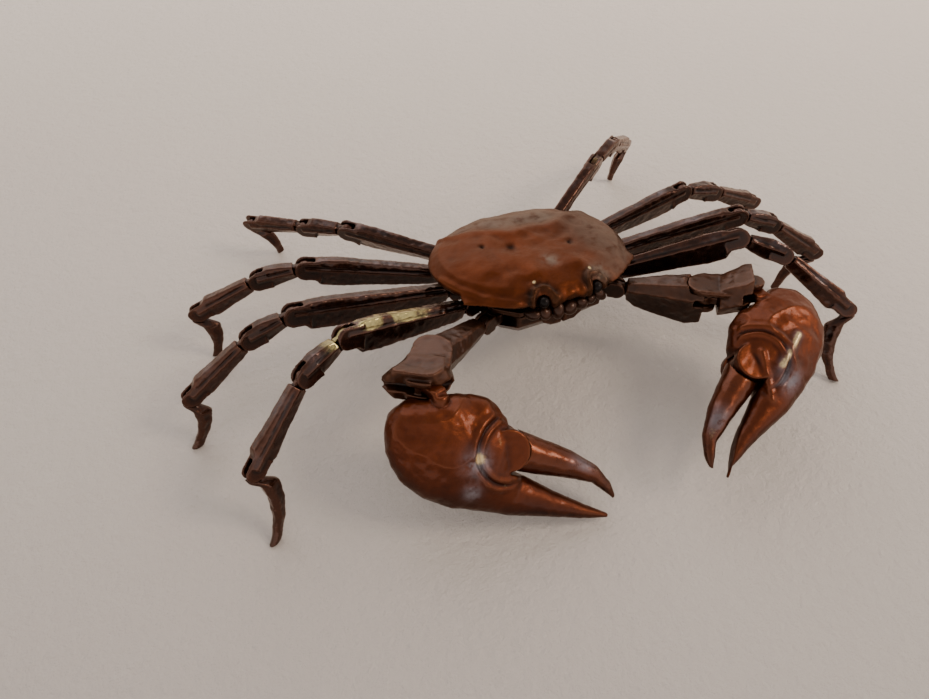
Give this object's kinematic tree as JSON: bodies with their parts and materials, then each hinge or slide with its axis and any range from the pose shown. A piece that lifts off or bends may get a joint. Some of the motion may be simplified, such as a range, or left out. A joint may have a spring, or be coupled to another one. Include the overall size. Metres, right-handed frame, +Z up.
{
  "type": "articulated crab figurine",
  "caption": "Cast bronze crab ornament standing on hooked feet, with a domed shell, jointed walking legs, and folding claws whose fingers open.",
  "frame": {"origin": "middle of the figurine's extents in plan, at the level of the lowest foot tip", "axes": "+Z up, -Y the way the crab faces, +X towards the crab's left side"},
  "size_m": [0.1258, 0.0924, 0.0249],
  "materials": {
    "shell_bronze": "brown patina under lacquer, semi-gloss",
    "leg_bronze": "dark brown patina, glossy",
    "claw_bronze": "red-brown patina, glossy",
    "finger_bronze": "red-brown patina, polished",
    "plate_bronze": "dull brown patina",
    "pin_brass": "worn, satin",
    "eye_bronze": "black-brown, glossy"
  },
  "bodies": {
    "body": {"carapace": "shell_bronze", "hip_plate": "plate_bronze", "thorax": "plate_bronze", "tail_flap": "plate_bronze", "hip_pins": "pin_brass", "body_screws": "pin_brass", "left_eye": "eye_bronze", "right_eye": "eye_bronze", "left_mouth_plate": "plate_bronze", "right_mouth_plate": "plate_bronze"},
    "left_front_coxa": {"left_front_coxa": "leg_bronze"},
    "left_front_merus": {"left_front_merus": "leg_bronze"},
    "left_front_carpus": {"left_front_carpus": "leg_bronze"},
    "left_front_propodus": {"left_front_propodus": "leg_bronze"},
    "left_front_dactyl": {"left_front_dactyl": "leg_bronze"},
    "left_second_coxa": {"left_second_coxa": "leg_bronze"},
    "left_second_merus": {"left_second_merus": "leg_bronze"},
    "left_second_carpus": {"left_second_carpus": "leg_bronze"},
    "left_second_propodus": {"left_second_propodus": "leg_bronze"},
    "left_second_dactyl": {"left_second_dactyl": "leg_bronze"},
    "left_third_coxa": {"left_third_coxa": "leg_bronze"},
    "left_third_merus": {"left_third_merus": "leg_bronze"},
    "left_third_carpus": {"left_third_carpus": "leg_bronze"},
    "left_third_propodus": {"left_third_propodus": "leg_bronze"},
    "left_third_dactyl": {"left_third_dactyl": "leg_bronze"},
    "left_rear_coxa": {"left_rear_coxa": "leg_bronze"},
    "left_rear_merus": {"left_rear_merus": "leg_bronze"},
    "left_rear_carpus": {"left_rear_carpus": "leg_bronze"},
    "left_rear_propodus": {"left_rear_propodus": "leg_bronze"},
    "left_rear_dactyl": {"left_rear_dactyl": "leg_bronze"},
    "left_claw_coxa": {"left_claw_coxa": "plate_bronze"},
    "left_claw_merus": {"left_claw_merus": "plate_bronze"},
    "left_claw_carpus": {"left_claw_carpus": "plate_bronze"},
    "left_claw_palm": {"left_claw_palm": "claw_bronze"},
    "left_claw_finger": {"left_claw_finger": "finger_bronze"},
    "right_front_coxa": {"right_front_coxa": "leg_bronze"},
    "right_front_merus": {"right_front_merus": "leg_bronze"},
    "right_front_carpus": {"right_front_carpus": "leg_bronze"},
    "right_front_propodus": {"right_front_propodus": "leg_bronze"},
    "right_front_dactyl": {"right_front_dactyl": "leg_bronze"},
    "right_second_coxa": {"right_second_coxa": "leg_bronze"},
    "right_second_merus": {"right_second_merus": "leg_bronze"},
    "right_second_carpus": {"right_second_carpus": "leg_bronze"},
    "right_second_propodus": {"right_second_propodus": "leg_bronze"},
    "right_second_dactyl": {"right_second_dactyl": "leg_bronze"},
    "right_third_coxa": {"right_third_coxa": "leg_bronze"},
    "right_third_merus": {"right_third_merus": "leg_bronze"},
    "right_third_carpus": {"right_third_carpus": "leg_bronze"},
    "right_third_propodus": {"right_third_propodus": "leg_bronze"},
    "right_third_dactyl": {"right_third_dactyl": "leg_bronze"},
    "right_rear_coxa": {"right_rear_coxa": "leg_bronze"},
    "right_rear_merus": {"right_rear_merus": "leg_bronze"},
    "right_rear_carpus": {"right_rear_carpus": "leg_bronze"},
    "right_rear_propodus": {"right_rear_propodus": "leg_bronze"},
    "right_rear_dactyl": {"right_rear_dactyl": "leg_bronze"},
    "right_claw_coxa": {"right_claw_coxa": "plate_bronze"},
    "right_claw_merus": {"right_claw_merus": "plate_bronze"},
    "right_claw_carpus": {"right_claw_carpus": "plate_bronze"},
    "right_claw_palm": {"right_claw_palm": "claw_bronze"},
    "right_claw_finger": {"right_claw_finger": "finger_bronze"}
  },
  "joints": [
    {"name": "left_front_hip_swing", "type": "hinge", "parent": "body", "child": "left_front_coxa", "pos_m": [0.0142, -0.00092, 0.01285], "axis": [0.0785, 0.156, 0.9846], "range_deg": [-3, 8]},
    {"name": "left_front_hip_lift", "type": "hinge", "parent": "left_front_coxa", "child": "left_front_merus", "pos_m": [0.01674, -0.00269, 0.01293], "axis": [-0.4901, -0.6835, 0.5409], "range_deg": [-15, 6]},
    {"name": "left_front_knee", "type": "hinge", "parent": "left_front_merus", "child": "left_front_carpus", "pos_m": [0.03844, -0.01207, 0.02073], "axis": [-0.4901, -0.6835, 0.5409], "range_deg": [-20, 10]},
    {"name": "left_front_shin", "type": "hinge", "parent": "left_front_carpus", "child": "left_front_propodus", "pos_m": [0.04463, -0.01793, 0.01894], "axis": [-0.4901, -0.6835, 0.5409], "range_deg": [-15, 12]},
    {"name": "left_front_foot", "type": "hinge", "parent": "left_front_propodus", "child": "left_front_dactyl", "pos_m": [0.05259, -0.02913, 0.01199], "axis": [-0.4901, -0.6835, 0.5409], "range_deg": [-10, 15]},
    {"name": "left_second_hip_swing", "type": "hinge", "parent": "body", "child": "left_second_coxa", "pos_m": [0.0142, 0.00352, 0.01215], "axis": [0.0785, 0.156, 0.9846], "range_deg": [-8, 8]},
    {"name": "left_second_hip_lift", "type": "hinge", "parent": "left_second_coxa", "child": "left_second_merus", "pos_m": [0.01711, 0.00247, 0.01208], "axis": [-0.3348, -0.9344, 0.1215], "range_deg": [-15, 6]},
    {"name": "left_second_knee", "type": "hinge", "parent": "left_second_merus", "child": "left_second_carpus", "pos_m": [0.04377, -0.0061, 0.01962], "axis": [-0.3348, -0.9344, 0.1215], "range_deg": [-20, 10]},
    {"name": "left_second_shin", "type": "hinge", "parent": "left_second_carpus", "child": "left_second_propodus", "pos_m": [0.05084, -0.00895, 0.0172], "axis": [-0.3348, -0.9344, 0.1215], "range_deg": [-15, 12]},
    {"name": "left_second_foot", "type": "hinge", "parent": "left_second_propodus", "child": "left_second_dactyl", "pos_m": [0.06112, -0.0136, 0.00978], "axis": [-0.3348, -0.9344, 0.1215], "range_deg": [-4, 15]},
    {"name": "left_third_hip_swing", "type": "hinge", "parent": "body", "child": "left_third_coxa", "pos_m": [0.0134, 0.00788, 0.01152], "axis": [0.0785, 0.156, 0.9846], "range_deg": [-8, 8]},
    {"name": "left_third_hip_lift", "type": "hinge", "parent": "left_third_coxa", "child": "left_third_merus", "pos_m": [0.01648, 0.00766, 0.01131], "axis": [-0.0628, -0.9915, 0.1142], "range_deg": [-15, 6]},
    {"name": "left_third_knee", "type": "hinge", "parent": "left_third_merus", "child": "left_third_carpus", "pos_m": [0.04142, 0.00674, 0.01702], "axis": [-0.0628, -0.9915, 0.1142], "range_deg": [-20, 10]},
    {"name": "left_third_shin", "type": "hinge", "parent": "left_third_carpus", "child": "left_third_propodus", "pos_m": [0.04977, 0.00594, 0.01472], "axis": [-0.0628, -0.9915, 0.1142], "range_deg": [-15, 12]},
    {"name": "left_third_foot", "type": "hinge", "parent": "left_third_propodus", "child": "left_third_dactyl", "pos_m": [0.06136, 0.00458, 0.00922], "axis": [-0.0628, -0.9915, 0.1142], "range_deg": [-2, 15]},
    {"name": "left_rear_hip_swing", "type": "hinge", "parent": "body", "child": "left_rear_coxa", "pos_m": [0.0112, 0.01185, 0.01107], "axis": [0.0785, 0.156, 0.9846], "range_deg": [-8, 8]},
    {"name": "left_rear_hip_lift", "type": "hinge", "parent": "left_rear_coxa", "child": "left_rear_merus", "pos_m": [0.01382, 0.01346, 0.0106], "axis": [0.507, -0.8557, -0.1039], "range_deg": [-15, 6]},
    {"name": "left_rear_knee", "type": "hinge", "parent": "left_rear_merus", "child": "left_rear_carpus", "pos_m": [0.03124, 0.02309, 0.01627], "axis": [0.507, -0.8557, -0.1039], "range_deg": [-20, 10]},
    {"name": "left_rear_shin", "type": "hinge", "parent": "left_rear_carpus", "child": "left_rear_propodus", "pos_m": [0.03978, 0.02825, 0.0155], "axis": [0.507, -0.8557, -0.1039], "range_deg": [-15, 12]},
    {"name": "left_rear_foot", "type": "hinge", "parent": "left_rear_propodus", "child": "left_rear_dactyl", "pos_m": [0.04891, 0.03447, 0.00885], "axis": [0.507, -0.8557, -0.1039], "range_deg": [-6, 15]},
    {"name": "left_claw_hip_swing", "type": "hinge", "parent": "body", "child": "left_claw_coxa", "pos_m": [0.014, -0.00566, 0.01362], "axis": [0.0785, 0.156, 0.9846], "range_deg": [-8, 2]},
    {"name": "left_claw_hip_lift", "type": "hinge", "parent": "left_claw_coxa", "child": "left_claw_merus", "pos_m": [0.01627, -0.00776, 0.01377], "axis": [-0.6735, -0.7199, 0.1677], "range_deg": [-15, 6]},
    {"name": "left_claw_elbow", "type": "hinge", "parent": "left_claw_merus", "child": "left_claw_carpus", "pos_m": [0.02765, -0.01794, 0.01576], "axis": [-0.018, -0.2108, -0.9774], "range_deg": [-10, 10]},
    {"name": "left_claw_wrist", "type": "hinge", "parent": "left_claw_carpus", "child": "left_claw_palm", "pos_m": [0.03347, -0.02198, 0.01898], "axis": [-0.018, -0.2108, -0.9774], "range_deg": [-8, 8]},
    {"name": "left_claw_finger", "type": "hinge", "parent": "left_claw_palm", "child": "left_claw_finger", "pos_m": [0.0249, -0.03274, 0.01415], "axis": [0.0852, 0.3506, -0.9326], "range_deg": [-3, 18]},
    {"name": "right_front_hip_swing", "type": "hinge", "parent": "body", "child": "right_front_coxa", "pos_m": [-0.00814, -0.00065, 0.01459], "axis": [-0.0785, -0.156, -0.9846], "range_deg": [-3, 8]},
    {"name": "right_front_hip_lift", "type": "hinge", "parent": "right_front_coxa", "child": "right_front_merus", "pos_m": [-0.01112, -0.00141, 0.01495], "axis": [-0.2712, 0.8838, -0.3812], "range_deg": [-15, 6]},
    {"name": "right_front_knee", "type": "hinge", "parent": "right_front_merus", "child": "right_front_carpus", "pos_m": [-0.03447, -0.00523, 0.0227], "axis": [-0.2712, 0.8838, -0.3812], "range_deg": [-20, 10]},
    {"name": "right_front_shin", "type": "hinge", "parent": "right_front_carpus", "child": "right_front_propodus", "pos_m": [-0.0424, -0.00839, 0.02101], "axis": [-0.2712, 0.8838, -0.3812], "range_deg": [-15, 12]},
    {"name": "right_front_foot", "type": "hinge", "parent": "right_front_propodus", "child": "right_front_dactyl", "pos_m": [-0.05343, -0.01532, 0.0128], "axis": [-0.2712, 0.8838, -0.3812], "range_deg": [-10, 15]},
    {"name": "right_second_hip_swing", "type": "hinge", "parent": "body", "child": "right_second_coxa", "pos_m": [-0.00814, 0.0038, 0.01388], "axis": [-0.0785, -0.156, -0.9846], "range_deg": [-8, 8]},
    {"name": "right_second_hip_lift", "type": "hinge", "parent": "right_second_coxa", "child": "right_second_merus", "pos_m": [-0.01122, 0.00395, 0.0141], "axis": [0.0301, 0.9657, -0.258], "range_deg": [-15, 6]},
    {"name": "right_second_knee", "type": "hinge", "parent": "right_second_merus", "child": "right_second_carpus", "pos_m": [-0.03972, 0.00616, 0.01904], "axis": [0.0301, 0.9657, -0.258], "range_deg": [-20, 10]},
    {"name": "right_second_shin", "type": "hinge", "parent": "right_second_carpus", "child": "right_second_propodus", "pos_m": [-0.04748, 0.00589, 0.01712], "axis": [0.0301, 0.9657, -0.258], "range_deg": [-15, 12]},
    {"name": "right_second_foot", "type": "hinge", "parent": "right_second_propodus", "child": "right_second_dactyl", "pos_m": [-0.05886, 0.00435, 0.01002], "axis": [0.0301, 0.9657, -0.258], "range_deg": [-10, 15]},
    {"name": "right_third_hip_swing", "type": "hinge", "parent": "body", "child": "right_third_coxa", "pos_m": [-0.00734, 0.00813, 0.01313], "axis": [-0.0785, -0.156, -0.9846], "range_deg": [-8, 8]},
    {"name": "right_third_hip_lift", "type": "hinge", "parent": "right_third_coxa", "child": "right_third_merus", "pos_m": [-0.01028, 0.0091, 0.01321], "axis": [0.3025, 0.9361, -0.1795], "range_deg": [-15, 6]},
    {"name": "right_third_knee", "type": "hinge", "parent": "right_third_merus", "child": "right_third_carpus", "pos_m": [-0.03407, 0.01759, 0.01738], "axis": [0.3025, 0.9361, -0.1795], "range_deg": [-20, 10]},
    {"name": "right_third_shin", "type": "hinge", "parent": "right_third_carpus", "child": "right_third_propodus", "pos_m": [-0.0423, 0.01994, 0.0158], "axis": [0.3025, 0.9361, -0.1795], "range_deg": [-15, 12]},
    {"name": "right_third_foot", "type": "hinge", "parent": "right_third_propodus", "child": "right_third_dactyl", "pos_m": [-0.05358, 0.02249, 0.01008], "axis": [0.3025, 0.9361, -0.1795], "range_deg": [-10, 15]},
    {"name": "right_rear_hip_swing", "type": "hinge", "parent": "body", "child": "right_rear_coxa", "pos_m": [-0.00514, 0.01206, 0.01234], "axis": [-0.0785, -0.156, -0.9846], "range_deg": [-8, 8]},
    {"name": "right_rear_hip_lift", "type": "hinge", "parent": "right_rear_coxa", "child": "right_rear_merus", "pos_m": [-0.00736, 0.01422, 0.01217], "axis": [0.6766, 0.7069, 0.2063], "range_deg": [-15, 6]},
    {"name": "right_rear_knee", "type": "hinge", "parent": "right_rear_merus", "child": "right_rear_carpus", "pos_m": [-0.02247, 0.0283, 0.01349], "axis": [0.6766, 0.7069, 0.2063], "range_deg": [-20, 10]},
    {"name": "right_rear_shin", "type": "hinge", "parent": "right_rear_carpus", "child": "right_rear_propodus", "pos_m": [-0.02917, 0.03537, 0.01122], "axis": [0.6766, 0.7069, 0.2063], "range_deg": [-15, 12]},
    {"name": "right_rear_foot", "type": "hinge", "parent": "right_rear_propodus", "child": "right_rear_dactyl", "pos_m": [-0.03785, 0.0445, 0.00843], "axis": [0.6766, 0.7069, 0.2063], "range_deg": [-1, 15]},
    {"name": "right_claw_hip_swing", "type": "hinge", "parent": "body", "child": "right_claw_coxa", "pos_m": [-0.00794, -0.00539, 0.01532], "axis": [-0.0785, -0.156, -0.9846], "range_deg": [-8, 2]},
    {"name": "right_claw_hip_lift", "type": "hinge", "parent": "right_claw_coxa", "child": "right_claw_merus", "pos_m": [-0.01073, -0.00667, 0.01575], "axis": [-0.4276, 0.8975, -0.1081], "range_deg": [-15, 6]},
    {"name": "right_claw_elbow", "type": "hinge", "parent": "right_claw_merus", "child": "right_claw_carpus", "pos_m": [-0.02316, -0.01227, 0.01846], "axis": [0.1317, 0.1801, 0.9748], "range_deg": [-10, 10]},
    {"name": "right_claw_wrist", "type": "hinge", "parent": "right_claw_carpus", "child": "right_claw_palm", "pos_m": [-0.02638, -0.01711, 0.02041], "axis": [0.1317, 0.1801, 0.9748], "range_deg": [-8, 8]},
    {"name": "right_claw_finger", "type": "hinge", "parent": "right_claw_palm", "child": "right_claw_finger", "pos_m": [-0.01813, -0.02754, 0.0119], "axis": [-0.1237, -0.6842, 0.7187], "range_deg": [-3, 18]}
  ]
}
